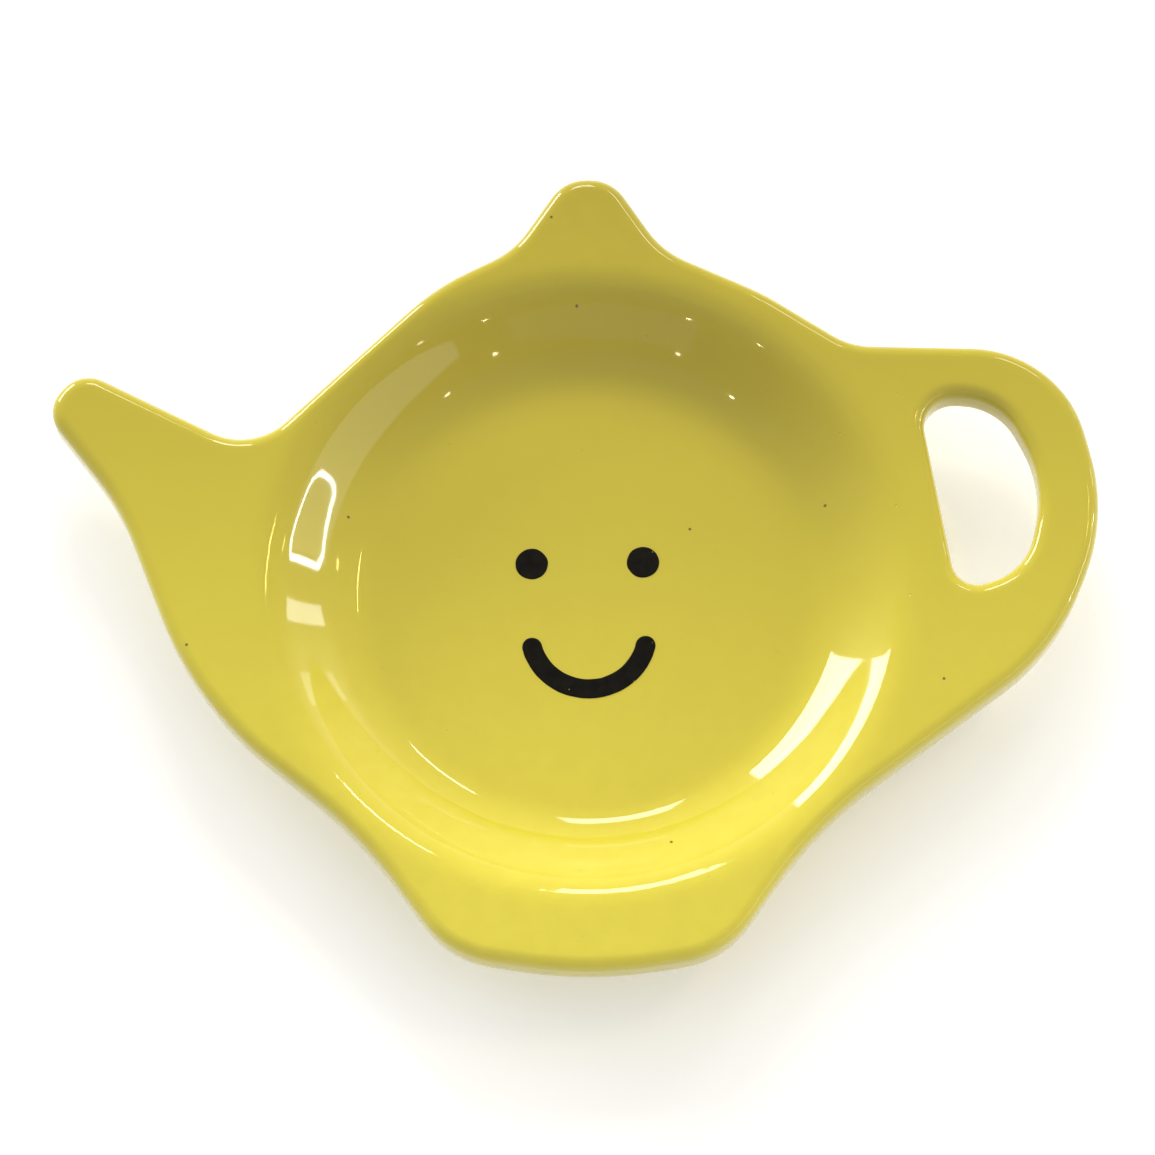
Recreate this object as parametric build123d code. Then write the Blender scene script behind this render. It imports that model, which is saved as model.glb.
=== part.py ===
from build123d import *
import os
from math import cos, radians, sin, tan

# Tea bag rest: a flat earthenware plate cut to the side view of a teapot, with a round well in the middle.
# Millimetres. The origin lies on the table under the middle of the well. +X points to the handle,
# +Y to the lid's knob and +Z up.

# Heights and walls
foot_height = 1.5
wall = 4.8
well_depth = 8.4
print_thickness = 0.1

# The well, as a cone with a rounded lip and a rounded floor edge, and a bevel under the floor's edge
well_mouth_radius = 36.2
well_wall_run = 7.2
lip_radius = 6.0
floor_edge_radius = 7.5
under_floor_bevel = 3.5

# The plate's edge: rounded on top, bevelled below, with at least an upright band left between them
edge_round = 1.6
edge_bevel = 0.7
edge_band = 0.5

# The foot ring, set in from the foot of the well's wall, a little narrower at the table on both its sides
foot_set_in = 3.5
foot_width = 3.5
foot_taper = 0.5

# The printed face, from the middle of the well
eye_diameter = 3.9
eye_spacing = 13.4
eye_y = 4.6
smile_radius = 7.0
smile_width = 2.4
smile_middle_y = -4.2
smile_half_angle = 76.0
face_turn = 1.0

# Corners of the pot round the well: bearing from +X in degrees, and rim width beyond the well's mouth
knob_foot_bearing = 77.8
knob_foot_rim = 6.9
knob_foot_radius = 10.9
right_shoulder_bearing = 59.9
right_shoulder_rim = 6.1
left_shoulder_bearing = 116.3
left_shoulder_rim = 5.5
shoulder_radius = 29.4
spout_throat_bearing = 158.0
spout_throat_rim = 7.2
spout_throat_radius = 7.6
belly_bearing = 198.2
belly_rim = 12.6
belly_radius = 45.0
left_waist_bearing = 228.9
left_waist_rim = 4.8
right_waist_bearing = 311.4
right_waist_rim = 4.0
waist_radius = 55.7
handle_throat_bearing = 43.3
handle_throat_rim = 7.3
handle_throat_radius = 8.8

# Lid knob
knob_half_width = 2.9
knob_height = 9.3
knob_radius = 5.0

# Base of the pot, a little bowed
base_half_width = 16.1
base_rim = 9.4
base_corner_radius = 11.9
base_bow = 2.5
base_bow_radius = 51.0

# Spout, with a blunt mouth, its corners reaching out beyond the well's mouth
spout_mouth_radius = 3.9
spout_mouth_top_reach = 24.8
spout_mouth_top_y = 26.7
spout_mouth_low_reach = 29.3
spout_mouth_low_y = 21.6
spout_under_reach = 19.8
spout_under_y = 9.4
spout_under_radius = 33.0

# Handle, its corners reaching out beyond the well's mouth
handle_low_reach = 19.2
handle_low_y = -8.4
handle_low_radius = 28.4
handle_side_reach = 26.0
handle_side_y = 8.2
handle_side_radius = 25.1
handle_top_reach = 20.7
handle_top_y = 29.3
handle_top_radius = 14.0

# Finger hole, set out from the well on its inner side and in from the handle's corners on the others
hole_rim = 7.7
hole_lean = 4.3
hole_top_margin = 5.9
hole_top_radius = 3.8
hole_heel_margin = 7.0
hole_heel_radius = 3.0
hole_low_margin_x = 3.3
hole_low_margin_y = 9.8
hole_low_radius = 7.5
hole_side_margin_x = 7.5
hole_side_margin_y = 4.5
hole_side_radius = 15.0
hole_crown_margin_x = 7.5
hole_crown_margin_y = 6.3
hole_crown_radius = 7.4

# Levels, slope and places that follow
floor_top = foot_height + wall
plate_top = floor_top + well_depth
well_floor_radius = well_mouth_radius - well_wall_run
foot_radius = well_floor_radius - foot_set_in
spout_mouth_top_x = -well_mouth_radius - spout_mouth_top_reach
spout_mouth_low_x = -well_mouth_radius - spout_mouth_low_reach
spout_under_x = -well_mouth_radius - spout_under_reach
handle_low_x = well_mouth_radius + handle_low_reach
handle_side_x = well_mouth_radius + handle_side_reach
handle_top_x = well_mouth_radius + handle_top_reach
wall_slope = Vector(well_wall_run, well_depth).get_angle(Vector(1, 0))


def rim_corner(bearing, rim, radius):
    """A corner of the outline at a rim width beyond the well's mouth: x, y and rounding radius."""
    reach = well_mouth_radius + rim
    return reach * cos(radians(bearing)), reach * sin(radians(bearing)), radius


# The plate's outline seen from above, anticlockwise: x, y and rounding radius of each corner
right_knob_foot = rim_corner(knob_foot_bearing, knob_foot_rim, knob_foot_radius)
left_knob_foot = rim_corner(180 - knob_foot_bearing, knob_foot_rim, knob_foot_radius)
knob_top = right_knob_foot[1] + knob_height
base_corner_y = -well_mouth_radius - base_rim
outline_corners = [
    (knob_half_width, knob_top, knob_radius),
    (-knob_half_width, knob_top, knob_radius),
    left_knob_foot,
    rim_corner(left_shoulder_bearing, left_shoulder_rim, shoulder_radius),
    rim_corner(spout_throat_bearing, spout_throat_rim, spout_throat_radius),
    (spout_mouth_top_x, spout_mouth_top_y, spout_mouth_radius),
    (spout_mouth_low_x, spout_mouth_low_y, spout_mouth_radius),
    (spout_under_x, spout_under_y, spout_under_radius),
    rim_corner(belly_bearing, belly_rim, belly_radius),
    rim_corner(left_waist_bearing, left_waist_rim, waist_radius),
    (-base_half_width, base_corner_y, base_corner_radius),
    (0, base_corner_y - base_bow, base_bow_radius),
    (base_half_width, base_corner_y, base_corner_radius),
    rim_corner(right_waist_bearing, right_waist_rim, waist_radius),
    (handle_low_x, handle_low_y, handle_low_radius),
    (handle_side_x, handle_side_y, handle_side_radius),
    (handle_top_x, handle_top_y, handle_top_radius),
    rim_corner(handle_throat_bearing, handle_throat_rim, handle_throat_radius),
    rim_corner(right_shoulder_bearing, right_shoulder_rim, shoulder_radius),
    right_knob_foot,
]

# The finger hole's outline, anticlockwise
hole_heel_x = well_mouth_radius + hole_rim
hole_corners = [
    (hole_heel_x - hole_lean, handle_top_y - hole_top_margin, hole_top_radius),
    (hole_heel_x, handle_low_y + hole_heel_margin, hole_heel_radius),
    (handle_low_x - hole_low_margin_x, handle_low_y + hole_low_margin_y, hole_low_radius),
    (handle_side_x - hole_side_margin_x, handle_side_y + hole_side_margin_y, hole_side_radius),
    (handle_top_x - hole_crown_margin_x, handle_top_y - hole_crown_margin_y, hole_crown_radius),
]


def rounded_face(corners):
    """A flat face whose corners, given anticlockwise, are rounded as far as their sides allow."""
    points = [Vector(x, y) for x, y, radius in corners]
    edges = []
    arc_starts = []
    arc_ends = []
    for index, (x, y, radius) in enumerate(corners):
        come = points[index] - points[index - 1]
        go = points[(index + 1) % len(points)] - points[index]
        reach = min(radius * tan(radians(come.get_angle(go) / 2)), come.length / 2, go.length / 2)
        arc_starts.append(points[index] - come.normalized() * reach)
        arc_ends.append(points[index] + go.normalized() * reach)
        if reach > 0:
            edges.append(TangentArc(arc_starts[-1], arc_ends[-1], tangent=come))
    for index, end in enumerate(arc_ends):
        next_start = arc_starts[(index + 1) % len(arc_starts)]
        if (next_start - end).length > 1e-6:
            edges.append(Line(end, next_start))
    return make_face(edges)


def turned(section):
    """A solid of revolution about the well's axis, from corners of radius, height and rounding."""
    return revolve(Plane.XZ * rounded_face(section), Axis.Z)


def plate_blank():
    """The turned plate with its well, of even wall, reaching out past the outline."""
    reach = max(Vector(x, y).length for x, y, radius in outline_corners)
    wall_outwards = wall * tan(radians(wall_slope / 2))
    under_floor_radius = well_floor_radius + wall_outwards
    bevel_run = under_floor_bevel * cos(radians(wall_slope))
    bevel_rise = under_floor_bevel * sin(radians(wall_slope))
    return turned(
        [
            (0, foot_height, 0),
            (under_floor_radius - under_floor_bevel, foot_height, 0),
            (under_floor_radius + bevel_run, foot_height + bevel_rise, 0),
            (well_mouth_radius + wall_outwards, plate_top - wall, 0),
            (reach, plate_top - wall, 0),
            (reach, plate_top, 0),
            (well_mouth_radius, plate_top, lip_radius),
            (well_floor_radius, floor_top, floor_edge_radius),
            (0, floor_top, 0),
        ]
    )


def rim_edges(solid, upper):
    """The edges along the upright sides of the plate, the upper or the lower ones."""
    middle = plate_top - wall / 2
    sides = solid.faces().filter_by(lambda face: abs(face.normal_at().Z) < 1e-6)
    edges = ShapeList(edge for side in sides for edge in side.edges().filter_by(Axis.Z, reverse=True))
    return ShapeList(set(edges.filter_by(lambda edge: (edge.center().Z > middle) == upper)))


def teapot_dish():
    """The teapot-shaped dish without its foot, its edge softly rounded above and bevelled below."""
    plate = rounded_face(outline_corners) - rounded_face(hole_corners)
    solid = plate_blank() & extrude(plate, plate_top)
    solid = chamfer(rim_edges(solid, upper=False), edge_bevel)
    return fillet(rim_edges(solid, upper=True), min(edge_round, wall - edge_bevel - edge_band))


def dry_foot():
    """The unglazed ring that the dish stands on."""
    inner_radius = foot_radius - foot_width
    return turned(
        [
            (inner_radius + foot_taper, 0, 0),
            (foot_radius - foot_taper, 0, 0),
            (foot_radius, foot_height, 0),
            (inner_radius, foot_height, 0),
        ]
    )


def on_the_floor(flat_shape):
    """A printed film of the given outline, lying on the well's glazed floor."""
    return Pos(0, 0, floor_top) * Rot(0, 0, face_turn) * extrude(flat_shape, print_thickness)


eye = Circle(eye_diameter / 2)
smile_line = CenterArc((0, smile_middle_y), smile_radius, 270 - smile_half_angle, 2 * smile_half_angle)

parts = {
    "dish": teapot_dish(),
    "foot_ring": dry_foot(),
    "left_eye": on_the_floor(Pos(-eye_spacing / 2, eye_y) * eye),
    "right_eye": on_the_floor(Pos(eye_spacing / 2, eye_y) * eye),
    "smile": on_the_floor(SlotArc(smile_line, smile_width)),
}

os.makedirs("parts", exist_ok=True)
for name, solid in parts.items():
    export_step(solid, f"parts/{name}.step")
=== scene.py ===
import bmesh
import bpy
from math import atan2, cos, hypot, pi, radians, sin, tan
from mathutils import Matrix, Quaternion, Vector, noise


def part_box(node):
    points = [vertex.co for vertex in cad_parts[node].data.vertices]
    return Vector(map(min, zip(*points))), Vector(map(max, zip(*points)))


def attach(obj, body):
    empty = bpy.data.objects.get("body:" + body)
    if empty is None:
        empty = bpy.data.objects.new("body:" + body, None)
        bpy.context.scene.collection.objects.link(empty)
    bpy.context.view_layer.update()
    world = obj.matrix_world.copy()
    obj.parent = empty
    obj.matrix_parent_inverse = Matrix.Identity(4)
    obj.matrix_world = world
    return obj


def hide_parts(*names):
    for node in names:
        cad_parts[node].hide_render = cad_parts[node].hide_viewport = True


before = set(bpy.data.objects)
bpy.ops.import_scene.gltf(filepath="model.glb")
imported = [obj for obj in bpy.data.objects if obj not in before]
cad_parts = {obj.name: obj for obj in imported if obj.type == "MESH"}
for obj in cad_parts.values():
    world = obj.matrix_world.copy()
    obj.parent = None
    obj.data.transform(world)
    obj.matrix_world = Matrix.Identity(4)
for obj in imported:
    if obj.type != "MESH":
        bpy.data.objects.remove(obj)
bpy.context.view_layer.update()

# The dish
# A flat plate of pale earthenware cut to the side view of a teapot, a round well in its middle.
# It is slip cast in one piece, its edge sponged round, and dipped in a glossy yellow glaze.
dish_low, dish_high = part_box("dish")
plate_top = dish_high.z
dish_bottom = dish_low.z
plate_wall = 0.0048
plate_bottom = plate_top - plate_wall
edge_round = 0.0016
edge_round_below = 0.0006
edge_steps = 10
edge_steps_below = 5

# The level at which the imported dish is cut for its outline, on the upright part of its sides
side_cut_depth = 0.0028
side_height = plate_top - side_cut_depth
outline_step = 0.0011

# The well's section, as distances from its axis and the slope in degrees there
well_depth = 0.0084
well_slopes = (
    (0.0256, 0),
    (0.0276, 16),
    (0.0290, 31),
    (0.0310, 38),
    (0.0330, 42),
    (0.0348, 43),
    (0.0360, 41),
    (0.0372, 31),
    (0.0384, 15),
    (0.0400, 0),
)
well_softness = 0.0008
well_samples = 4
well_turn_steps = 200
floor_ring_count = 8
wall_ring_count = 36

# The narrowest land between the well's rings and the rounded edge, and its triangles' longest side
rim_gap = 0.0005
plate_facet = 0.0013


def cut_rings(node, height, longest):
    """The closed rings of short edges where a level plane cuts a solid, shortest ring first."""
    mesh = bmesh.new()
    mesh.from_mesh(bpy.data.objects[node].data)
    bmesh.ops.remove_doubles(mesh, verts=mesh.verts, dist=1e-6)
    bmesh.ops.bisect_plane(
        mesh,
        geom=mesh.verts[:] + mesh.edges[:] + mesh.faces[:],
        dist=1e-7,
        plane_co=(0, 0, height),
        plane_no=(0, 0, 1),
        clear_inner=True,
        clear_outer=True,
    )
    bmesh.ops.remove_doubles(mesh, verts=mesh.verts, dist=1e-5)
    for edge in mesh.edges[:]:
        cuts = int(edge.calc_length() / longest)
        if cuts:
            bmesh.ops.subdivide_edges(mesh, edges=[edge], cuts=cuts)
    unused = dict.fromkeys(mesh.edges)
    rings = []
    while unused:
        ring = [unused.popitem()[0]]
        for edge in ring:
            joined = [other for vert in edge.verts for other in vert.link_edges if other in unused]
            for other in joined:
                del unused[other]
            ring.extend(joined)
        rings.append(ring)
    rings.sort(key=lambda ring: sum(edge.calc_length() for edge in ring))
    return mesh, rings


def aim_ring(ring, layer, solid_inside):
    """Each corner of a ring gets the level direction into the solid, longer at a sharp corner."""
    edge = ring[0]
    vert = edge.verts[0]
    verts = []
    for count in ring:
        verts.append(vert)
        vert = edge.other_vert(vert)
        edge = next(other for other in vert.link_edges if other is not edge)
    laps = list(zip(verts[-1:] + verts[:-1], verts, verts[1:] + verts[:1]))
    turn = sum(vert.co.x * after.co.y - after.co.x * vert.co.y for before, vert, after in laps)
    side = 1 if (turn > 0) == solid_inside else -1
    for before, vert, after in laps:
        come = (vert.co - before.co).normalized()
        go = (after.co - vert.co).normalized()
        left = Vector((-come.y - go.y, come.x + go.x, 0)).normalized()
        vert[layer] = left * side / left.dot(Vector((-come.y, come.x, 0)))


def raise_ring(mesh, ring, layer, moves):
    """Walls drawn up from a ring of edges by moves of so far inwards and so far up."""
    for inwards, upwards in moves:
        made = bmesh.ops.extrude_edge_only(mesh, edges=ring)["geom"]
        ring = [item for item in made if isinstance(item, bmesh.types.BMEdge)]
        for vert in {vert for edge in ring for vert in edge.verts}:
            vert.co += vert[layer] * inwards + Vector((0, 0, upwards))
    return ring


def quarter_round(inwards, upwards, steps):
    """The moves that roll an upright wall over to the level."""
    angles = [pi / 2 * step / steps for step in range(steps + 1)]
    pairs = list(zip(angles, angles[1:]))
    return [(inwards * (cos(a) - cos(b)), upwards * (sin(b) - sin(a))) for a, b in pairs]


def inner_edges(faces, patch):
    """The edges of a patch with one of its faces on either side."""
    edges = dict.fromkeys(edge for face in faces for edge in face.edges)
    edges = [edge for edge in edges if all(face[patch] for face in edge.link_faces)]
    return [edge for edge in edges if len(edge.link_faces) == 2]


def fill_flat(mesh, edges, longest):
    """Even triangles between rings of edges that lie flat."""
    patch = mesh.faces.layers.int.new("patch")
    made = bmesh.ops.triangle_fill(mesh, use_beauty=True, edges=edges, normal=(0, 0, 1))
    for face in made["geom"]:
        if isinstance(face, bmesh.types.BMFace):
            face[patch] = 1
    for halving in range(8):
        faces = [face for face in mesh.faces if face[patch]]
        long_edges = [edge for edge in inner_edges(faces, patch) if edge.calc_length() > longest]
        if not long_edges:
            break
        bmesh.ops.subdivide_edges(mesh, edges=long_edges, cuts=1)
        bmesh.ops.triangulate(mesh, faces=[face for face in mesh.faces if face[patch]])
        faces = [face for face in mesh.faces if face[patch]]
        bmesh.ops.beautify_fill(mesh, faces=faces, edges=inner_edges(faces, patch))
        faces = [face for face in mesh.faces if face[patch]]
        free = dict.fromkeys(vert for face in faces for vert in face.verts)
        free = [vert for vert in free if all(face[patch] for face in vert.link_faces)]
        free = [vert for vert in free if not any(edge.is_boundary for edge in vert.link_edges)]
        for pass_number in range(3):
            bmesh.ops.smooth_vert(mesh, verts=free, factor=0.5, use_axis_x=True, use_axis_y=True)
    mesh.faces.layers.int.remove(patch)


def pressed_height(radius):
    """How far a section that follows the slopes has risen at a distance from the well's axis."""
    rise = 0
    for (inner, gentle), (outer, steep) in zip(well_slopes, well_slopes[1:]):
        run = min(max(radius - inner, 0), outer - inner)
        start = tan(radians(gentle))
        end = start + (tan(radians(steep)) - start) * run / (outer - inner)
        rise += run * (start + end) / 2
    return rise


def well_height(radius):
    """The height of the dish's upper side there, evened out a little by the glaze."""
    steps = range(-well_samples, well_samples + 1)
    samples = [pressed_height(radius + well_softness * step / well_samples) for step in steps]
    return plate_top - well_depth * (1 - sum(samples) / len(samples) / pressed_height(1))


def draw_section(mesh, corners):
    """A chain of edges in the XZ plane through corners of radius and height."""
    verts = [mesh.verts.new((radius, 0, height)) for radius, height in corners]
    for pair in zip(verts, verts[1:]):
        mesh.edges.new(pair)
    return verts


def spin_section(mesh, steps):
    """The drawn section spun once round the well's axis and closed at its pole."""
    geom = mesh.verts[:] + mesh.edges[:]
    axis = {"axis": (0, 0, 1), "cent": (0, 0, 0)}
    bmesh.ops.spin(mesh, geom=geom, angle=2 * pi, steps=steps, use_merge=True, **axis)
    pole = [vert for vert in mesh.verts if hypot(vert.co.x, vert.co.y) < 1e-6]
    bmesh.ops.remove_doubles(mesh, verts=pole, dist=1e-6)


def join_mesh(mesh, other):
    """Another mesh added to a mesh."""
    data = bpy.data.meshes.new("joined")
    other.to_mesh(data)
    other.free()
    mesh.from_mesh(data)
    bpy.data.meshes.remove(data)


def soften(mesh, vert, reach, segments):
    """A corner of a drawn section rounded, from a distance along both its sides."""
    bmesh.ops.bevel(
        mesh,
        geom=[vert],
        offset=reach,
        offset_type="OFFSET",
        segments=segments,
        profile=0.5,
        affect="VERTICES",
        material=-1,
    )


def open_edges(mesh, height):
    """The edges at a level that have a face on one side only."""
    edges = [edge for edge in mesh.edges if edge.is_boundary]
    return [edge for edge in edges if abs(edge.verts[0].co.z - height) < 1e-6]


def make_piece(name, mesh, material):
    """A smooth-shaded object made of a finished mesh, on the dish's only body."""
    bmesh.ops.recalc_face_normals(mesh, faces=mesh.faces)
    for face in mesh.faces:
        face.smooth = True
    data = bpy.data.meshes.new(name)
    mesh.to_mesh(data)
    mesh.free()
    data.materials.append(material)
    piece = bpy.data.objects.new(name, data)
    bpy.context.collection.objects.link(piece)
    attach(piece, "root")
    return piece


class Wire:
    """A shader socket that sums are written with."""

    def __init__(self, tree, socket=None):
        self.tree = tree
        self.socket = socket

    def node(self, kind, settings, inputs, output=0):
        """A new node with its settings, then its sockets' values or links."""
        node = self.tree.nodes.new("ShaderNode" + kind)
        for name, value in settings.items():
            setattr(node, name, value)
        for name, value in inputs.items():
            if isinstance(value, Wire):
                self.tree.links.new(value.socket, node.inputs[name])
            else:
                node.inputs[name].default_value = value
        return Wire(self.tree, node.outputs[output])

    def maths(self, operation, first, second):
        return self.node("Math", {"operation": operation}, {0: first, 1: second})

    def __add__(self, other):
        return self.maths("ADD", self, other)

    def __radd__(self, other):
        return self.maths("ADD", other, self)

    def __sub__(self, other):
        return self.maths("SUBTRACT", self, other)

    def __rsub__(self, other):
        return self.maths("SUBTRACT", other, self)

    def __mul__(self, other):
        return self.maths("MULTIPLY", self, other)

    def __rmul__(self, other):
        return self.maths("MULTIPLY", other, self)

    def ramp(self, low, high):
        """A smooth step from 0 at one value to 1 at another."""
        settings = {"interpolation_type": "SMOOTHSTEP"}
        return self.node("MapRange", settings, {"Value": self, "From Min": low, "From Max": high})

    def tint(self, start, end):
        """A colour that goes from one to another with this value."""
        return self.node("Mix", {"data_type": "RGBA"}, {0: self, 6: start, 7: end}, 2)


def cloud(place, scale, detail):
    """Even noise of about one patch in each 1/scale metres."""
    return place.node("TexNoise", {}, {"Vector": place, "Scale": scale, "Detail": detail})


def speckle(place, scale, size, share):
    """Small round spots, soft at the rim, on a share of the cells of a random grid."""
    settings = {"feature": "F1", "voronoi_dimensions": "2D"}
    spot = place.node("TexVoronoi", settings, {"Vector": place, "Scale": scale}, "Distance")
    cell = place.node("TexVoronoi", settings, {"Vector": place, "Scale": scale}, "Color")
    draw = cell.node("SeparateColor", {}, {"Color": cell}, "Red")
    chosen = draw.ramp(1 - share, 1 - share + 0.01)
    return (1 - spot.ramp(size * scale * 0.6, size * scale)) * chosen


# The sides and their rounded edges, drawn up and down from the two outlines
mesh, (hole_ring, well_ring, outline_ring) = cut_rings("dish", side_height, outline_step)
bmesh.ops.delete(mesh, geom=well_ring, context="EDGES")
narrowest = min(hypot(vert.co.x, vert.co.y) for vert in mesh.verts)
into_clay = mesh.verts.layers.float_vector.new("into_clay")
aim_ring(outline_ring, into_clay, True)
aim_ring(hole_ring, into_clay, False)
side_ring = outline_ring + hole_ring
top_moves = [(0, plate_top - edge_round - side_height)]
top_moves += quarter_round(edge_round, edge_round, edge_steps)
under_moves = [(0, plate_bottom + edge_round_below - side_height)]
under_moves += quarter_round(edge_round_below, -edge_round_below, edge_steps_below)
raise_ring(mesh, side_ring, into_clay, top_moves)
raise_ring(mesh, side_ring, into_clay, under_moves)

# The well's rings, drawn flat and then pressed down to the well's section
well_cut = narrowest - edge_round - rim_gap
floor_flat = well_slopes[0][0] - well_softness
wall_run = well_cut - floor_flat
rings = [step * floor_flat / floor_ring_count for step in range(floor_ring_count)]
rings += [floor_flat + step * wall_run / wall_ring_count for step in range(wall_ring_count + 1)]
well = bmesh.new()
draw_section(well, [(radius, plate_top) for radius in rings])
spin_section(well, well_turn_steps)
join_mesh(mesh, well)
fill_flat(mesh, open_edges(mesh, plate_top), plate_facet)

# How far the rounded edge has turned down is kept for the glaze's colour, 1 on the sides and below
edge_layer = mesh.verts.layers.float.new("edge")
for vert in mesh.verts:
    if vert.co.z > side_height:
        vert[edge_layer] = min((plate_top - vert.co.z) / edge_round, 1)
        vert.co.z += well_height(hypot(vert.co.x, vert.co.y)) - plate_top
    else:
        vert[edge_layer] = 1

# The underside, an even wall below the well
under_lip_radius = 0.0384
under_lip_soft = 0.0003
under_floor_radius = 0.0312
under_floor_soft = 0.0012
under_bevel = 0.0035
under_rim_gap = 0.00012
under_facet = 0.0018
under_slope = atan2(well_depth, under_lip_radius - under_floor_radius)
bevel_run = under_bevel * cos(under_slope)
bevel_rise = under_bevel * sin(under_slope)
under_corners = [
    (0, dish_bottom),
    (under_floor_radius - under_bevel, dish_bottom),
    (under_floor_radius + bevel_run, dish_bottom + bevel_rise),
    (under_lip_radius, plate_bottom),
    (narrowest - edge_round_below - under_rim_gap, plate_bottom),
]
underside = bmesh.new()
middle, bevel_start, bevel_end, under_lip, under_rim = draw_section(underside, under_corners)
soften(underside, under_lip, under_lip_soft, segments=4)
soften(underside, bevel_end, under_floor_soft, segments=5)
soften(underside, bevel_start, under_floor_soft, segments=5)
spin_section(underside, well_turn_steps)
join_mesh(mesh, underside)
fill_flat(mesh, open_edges(mesh, plate_bottom), under_facet)

# The glaze's colour holds painted light and shade: it is darker towards the knob's end and lighter
# towards the base, with painted shade on the well's back wall and paler painted light on its front
# wall, and the back of the floor is lifted to the colour of the floor's middle, so the floor stays
# even
knob_end_painted_shade_yellow = (0.423, 0.342, 0.015, 1)
base_end_painted_light_yellow = (0.76, 0.65, 0.050, 1)
front_wall_painted_light_yellow = (0.76, 0.66, 0.10, 1)
back_wall_painted_shade_yellow = (0.485, 0.39, 0.003, 1)
floor_back_painted_light_yellow = (0.60, 0.50, 0.03, 1)
drift_yellow = (0.58, 0.49, 0.022, 1)
mottle_yellow = (0.54, 0.44, 0.020, 1)
edge_yellow = (0.72, 0.65, 0.19, 1)
speck_brown = (0.09, 0.05, 0.012, 1)
glaze = bpy.data.materials.new("yellow_glaze")
glaze.use_nodes = True
shader = glaze.node_tree.nodes["Principled BSDF"]
place = Wire(glaze.node_tree).node("TexCoord", {}, {}, "Object")
edge = place.node("Attribute", {"attribute_name": "edge"}, {}, "Fac")
drift = cloud(place, scale=45, detail=2).ramp(0.35, 0.65)
mottle = cloud(place, scale=420, detail=3).ramp(0.3, 0.7)
across = place.node("SeparateXYZ", {}, {"Vector": place}, "X")
along = place.node("SeparateXYZ", {}, {"Vector": place}, "Y")
squared_radius = across * across + along * along
past_floor = squared_radius.ramp(0.0298**2, 0.0318**2)
past_wall = squared_radius.ramp(0.0352**2, 0.0374**2)
on_wall = past_floor * (1 - past_wall)
on_floor = 1 - squared_radius.ramp(0.022**2, 0.029**2)
# Painted light and shade: darker towards the knob's end at the back, lighter towards the base at
# the front
colour = along.ramp(0.055, -0.05).tint(knob_end_painted_shade_yellow, base_end_painted_light_yellow)
# Painted light: the front of the well's wall is paler, as if washed out by bright light
colour = (on_wall * along.ramp(0, -0.02)).tint(colour, front_wall_painted_light_yellow)
# Painted shade: the back of the well's wall is darker and deeper in colour
colour = (on_wall * along.ramp(0.012, 0.032)).tint(colour, back_wall_painted_shade_yellow)
# Painted light: the back of the floor is lifted to the floor's middle colour, against the painted
# shade towards the knob
colour = (on_floor * along.ramp(-0.002, 0.024)).tint(colour, floor_back_painted_light_yellow)
colour = (drift * 0.12).tint(colour, drift_yellow)
colour = (mottle * 0.1).tint(colour, mottle_yellow)
colour = (edge.ramp(0.15, 0.9) * (0.25 + 0.45 * drift)).tint(colour, edge_yellow)
specks = speckle(place, scale=70, size=0.00022, share=0.35)
colour = (specks * 0.85).tint(colour, speck_brown)
glaze.node_tree.links.new(colour.socket, shader.inputs["Base Color"])
gloss = 0.03 + 0.04 * cloud(place, scale=900, detail=2)
glaze.node_tree.links.new(gloss.socket, shader.inputs["Roughness"])
waves = cloud(place, scale=60, detail=1) * 0.00004 + cloud(place, scale=320, detail=2) * 0.000006
pits = speckle(place, scale=130, size=0.00016, share=0.25)
waves = waves - pits * 0.00004
bump = place.node("Bump", {}, {"Strength": 1, "Distance": 1, "Height": waves})
glaze.node_tree.links.new(bump.socket, shader.inputs["Normal"])
shader.inputs["IOR"].default_value = 1.5

dish = make_piece("teapot_dish", mesh, glaze)
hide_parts("dish")

# The foot ring
# The narrow ring that the dish stands on, part of the same clay. The glaze is wiped off it before
# firing, so it shows the bare earthenware, buff, dry and a little gritty, with glaze at its top.
foot_low, foot_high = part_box("foot_ring")
foot_width = 0.0035
foot_taper = 0.0005
foot_soft = 0.0004
foot_turn_steps = 180
stain_start = 0.0011
stain_full = 0.0015
clay_dark = (0.62, 0.52, 0.40, 1)
clay_pale = (0.76, 0.68, 0.56, 1)
clay_smudge = (0.56, 0.44, 0.31, 1)
clay_speck = (0.24, 0.15, 0.09, 1)
glaze_stain = (0.50, 0.38, 0.12, 1)
mesh = bmesh.new()
foot_section = draw_section(
    mesh,
    [
        (foot_high.x, foot_high.z),
        (foot_high.x - foot_taper, foot_low.z),
        (foot_high.x - foot_width + foot_taper, foot_low.z),
        (foot_high.x - foot_width, foot_high.z),
    ],
)
mesh.edges.new((foot_section[3], foot_section[0]))
soften(mesh, foot_section[1], foot_soft, segments=4)
soften(mesh, foot_section[2], foot_soft, segments=4)
spin_section(mesh, foot_turn_steps)

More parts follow.
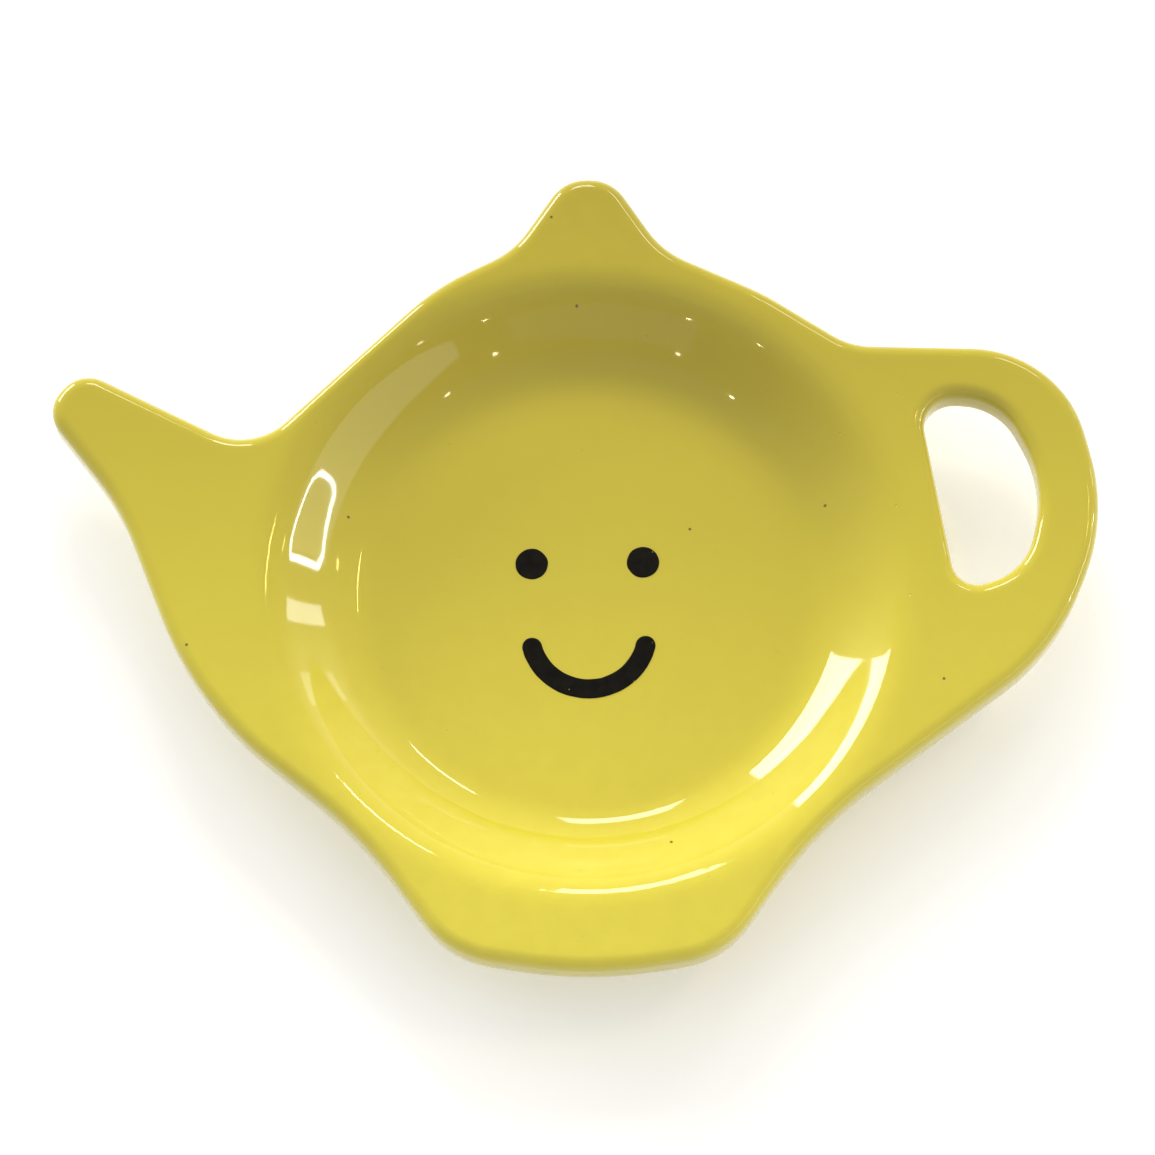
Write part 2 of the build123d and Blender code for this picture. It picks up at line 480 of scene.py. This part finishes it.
clay = bpy.data.materials.new("bare_clay")
clay.use_nodes = True
shader = clay.node_tree.nodes["Principled BSDF"]
place = Wire(clay.node_tree).node("TexCoord", {}, {}, "Object")
grain = cloud(place, scale=2600, detail=4)
smudge = cloud(place, scale=160, detail=3).ramp(0.35, 0.7)
colour = grain.ramp(0.3, 0.7).tint(clay_dark, clay_pale)
colour = (smudge * 0.4).tint(colour, clay_smudge)
specks = speckle(place, scale=420, size=0.00022, share=0.3)
colour = (specks * 0.7).tint(colour, clay_speck)
height = place.node("SeparateXYZ", {}, {"Vector": place}, "Z")
colour = (height.ramp(stain_start, stain_full) * 0.6).tint(colour, glaze_stain)
clay.node_tree.links.new(colour.socket, shader.inputs["Base Color"])
dryness = 0.72 + 0.2 * grain
clay.node_tree.links.new(dryness.socket, shader.inputs["Roughness"])
grit = grain * 0.00005 + cloud(place, scale=700, detail=3) * 0.00006
bump = place.node("Bump", {}, {"Strength": 1, "Distance": 1, "Height": grit})
clay.node_tree.links.new(bump.socket, shader.inputs["Normal"])

foot = make_piece("dry_foot_ring", mesh, clay)
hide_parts("foot_ring")

# The printed face
# Two round eyes and a smile, printed in black enamel on the glazed floor of the well and fired on.
# The film is a tenth of a millimetre thick, its edge a little soft and uneven, its shine soft.
film_edge = 0.00008
film_edge_steps = 4
film_step = 0.00025
film_facet = 0.0006
film_wander = 0.00004
film_wander_scale = 900
film_wander_shift = Vector((40, 0, 0))
enamel_black = (0.0055, 0.0045, 0.003, 1)
enamel_brown = (0.010, 0.0085, 0.0055, 1)
pinhole_yellow = (0.30, 0.25, 0.07, 1)
enamel = bpy.data.materials.new("black_print")
enamel.use_nodes = True
shader = enamel.node_tree.nodes["Principled BSDF"]
place = Wire(enamel.node_tree).node("TexCoord", {}, {}, "Object")
colour = cloud(place, scale=800, detail=3).ramp(0.3, 0.7).tint(enamel_black, enamel_brown)
pinholes = speckle(place, scale=900, size=0.00010, share=0.07)
colour = (pinholes * 0.7).tint(colour, pinhole_yellow)
enamel.node_tree.links.new(colour.socket, shader.inputs["Base Color"])
gloss = 0.12 + 0.12 * cloud(place, scale=1500, detail=2)
enamel.node_tree.links.new(gloss.socket, shader.inputs["Roughness"])
ripple = cloud(place, scale=1200, detail=2) * 0.00001
bump = place.node("Bump", {}, {"Strength": 1, "Distance": 1, "Height": ripple})
enamel.node_tree.links.new(bump.socket, shader.inputs["Normal"])
shader.inputs["Specular IOR Level"].default_value = 0.06

printed_films = (
    ("left_eye", "printed_eye_left"),
    ("right_eye", "printed_eye_right"),
    ("smile", "printed_smile"),
)
for node, name in printed_films:
    film_low, film_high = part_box(node)
    mesh, (ring,) = cut_rings(node, (film_low.z + film_high.z) / 2, film_step)
    for vert in mesh.verts:
        spot = Vector((vert.co.x, vert.co.y, 0)) * film_wander_scale
        vert.co.x += film_wander * noise.noise(spot)
        vert.co.y += film_wander * noise.noise(spot + film_wander_shift)
        vert.co.z = film_low.z
    into_film = mesh.verts.layers.float_vector.new("into_film")
    aim_ring(ring, into_film, True)
    film_moves = [(0, film_high.z - film_low.z - film_edge)]
    film_moves += quarter_round(film_edge * 2, film_edge, film_edge_steps)
    raise_ring(mesh, ring, into_film, film_moves)
    fill_flat(mesh, open_edges(mesh, film_high.z), film_facet)
    fill_flat(mesh, open_edges(mesh, film_low.z), film_facet)
    film = make_piece(name, mesh, enamel)
    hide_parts(node)

# The floor
# A plain matt white table top under the dish, wide enough to fill the view.
# It is lifted a little towards white where it is seen, and keeps the dish's soft shadow.
table_reach = 3
table_lift = 0.24
mesh = bmesh.new()
bmesh.ops.create_grid(mesh, x_segments=8, y_segments=8, size=table_reach)
data = bpy.data.meshes.new("table_top")
mesh.to_mesh(data)
mesh.free()
table_top = bpy.data.objects.new("table_top", data)
bpy.context.collection.objects.link(table_top)
paper = bpy.data.materials.new("white_table")
paper.use_nodes = True
shader = paper.node_tree.nodes["Principled BSDF"]
shader.inputs["Base Color"].default_value = (0.93, 0.93, 0.93, 1)
shader.inputs["Roughness"].default_value = 0.9
shader.inputs["Specular IOR Level"].default_value = 0.1
shader.inputs["Emission Strength"].default_value = 1
paper_wire = Wire(paper.node_tree)
camera_ray = paper_wire.node("LightPath", {}, {}, "Is Camera Ray")
glossy_ray = paper_wire.node("LightPath", {}, {}, "Is Glossy Ray")
clear_ray = paper_wire.node("LightPath", {}, {}, "Is Transmission Ray")
seen = paper_wire.maths("MAXIMUM", paper_wire.maths("MAXIMUM", camera_ray, glossy_ray), clear_ray)
lift = table_lift * seen
paper.node_tree.links.new(lift.socket, shader.inputs["Emission Color"])
data.materials.append(paper)

# The light
# An even white room, a little brighter behind the dish, with soft boxes behind it and at its sides.
# A window with two panes of daylight stands at the right, and small warm lamps hang in the room.
room_level = 0.705
room_rise = 0.42
world = bpy.data.worlds.new("studio")
bpy.context.scene.world = world
world.use_nodes = True
room = Wire(world.node_tree)
camera_ray = room.node("LightPath", {}, {}, "Is Camera Ray")
glossy_ray = room.node("LightPath", {}, {}, "Is Glossy Ray")
clear_ray = room.node("LightPath", {}, {}, "Is Transmission Ray")
direction = room.node("TexCoord", {}, {}, "Generated")
backwards = room.node("SeparateXYZ", {}, {"Vector": direction}, "Y")
seen = room.maths("MAXIMUM", room.maths("MAXIMUM", camera_ray, glossy_ray), clear_ray)
strength = seen + (1 - seen) * (room_level + room_rise * backwards)
background = world.node_tree.nodes["Background"]
background.inputs["Color"].default_value = (1, 1, 1, 1)
world.node_tree.links.new(strength.socket, background.inputs["Strength"])

# Each lamp's name, its azimuth, elevation and roll in degrees, its distance from the dish, width
# and height in metres, its power in watts and its colour
daylight = (1, 1, 1)
lamp_yellow = (1, 0.72, 0.22)
lamp_cream = (1, 0.84, 0.5)
lamps = (
    ("back_left_box", 133, 11.5, 0, 0.9, 0.44, 0.27, 4.7, daylight),
    ("back_box", 95, 40, 0, 0.9, 0.20, 0.20, 1.3, daylight),
    ("back_right_box", 66, 41, 0, 0.9, 0.16, 0.07, 0.42, daylight),
    ("right_wall", -20, 17, -9, 0.9, 1.1, 0.20, 0.83, daylight),
    ("window_head", 3.5, 15.5, -9, 0.9, 0.22, 0.014, 0.264, daylight),
    ("window_corner_front", -4.9, 16.0, 23, 0.9, 0.046, 0.014, 0.056, daylight),
    ("window_corner_back", 12.2, 13.3, -35, 0.9, 0.060, 0.017, 0.088, daylight),
    ("window_jamb_front", -6.7, 13.0, -9, 0.9, 0.018, 0.08, 0.123, daylight),
    ("window_jamb_back", 13.3, 9.8, -9, 0.9, 0.022, 0.08, 0.150, daylight),
    ("bright_pane", 24, 8, 0, 0.9, 0.07, 0.10, 0.135, daylight),
    ("pale_pane", 39, 3, 0, 0.9, 0.10, 0.10, 0.063, daylight),
    ("front_wall", -94, 26, 0, 0.6, 0.51, 0.085, 0.04, daylight),
    ("warm_strip", 27, 53.5, 0, 0.9, 0.15, 0.010, 0.48, lamp_yellow),
    ("warm_spot_1", 12.5, 22.5, 0, 0.9, 0.04, 0.012, 0.08, lamp_yellow),
    ("warm_spot_2", -44, 34, 0, 0.9, 0.016, 0.010, 0.045, lamp_cream),
    ("warm_spot_3", -62.5, 28.5, 0, 0.9, 0.016, 0.010, 0.03, lamp_cream),
    ("warm_spot_4", -117, 29, 0, 0.9, 0.016, 0.010, 0.03, lamp_cream),
    ("warm_spot_5", -137, 34, 0, 0.9, 0.016, 0.010, 0.045, lamp_cream),
)
for name, azimuth, elevation, roll, distance, width, height, power, colour in lamps:
    lamp = bpy.data.lights.new(name, "AREA")
    lamp.shape = "RECTANGLE"
    lamp.size = width
    lamp.size_y = height
    lamp.energy = power
    lamp.color = colour
    box = bpy.data.objects.new(name, lamp)
    bpy.context.collection.objects.link(box)
    away = Vector((cos(radians(azimuth)), sin(radians(azimuth)), 0)) * cos(radians(elevation))
    away.z = sin(radians(elevation))
    box.location = Vector((0, 0, plate_top)) + away * distance
    turn = away.to_track_quat("Z", "Y") @ Quaternion((0, 0, 1), radians(roll))
    box.rotation_euler = turn.to_euler()

# The camera
# It stands above the front of the dish, tilted 18 degrees from looking straight down.
# Its lens is long, and its frame is shifted as the photograph's is.
camera_tilt = radians(18)
camera_distance = 0.5929
camera_data = bpy.data.cameras.new("camera")
camera_data.sensor_width = 36
camera_data.lens = 155.9
camera_data.shift_x = -0.0091
camera_data.shift_y = 0.0004
camera = bpy.data.objects.new("camera", camera_data)
bpy.context.collection.objects.link(camera)
camera_rise = camera_distance * cos(camera_tilt)
camera.location = (0, -camera_distance * sin(camera_tilt), plate_top + camera_rise)
camera.rotation_euler = (camera_tilt, 0, 0)
bpy.context.scene.camera = camera
bpy.context.scene.view_settings.view_transform = "Standard"
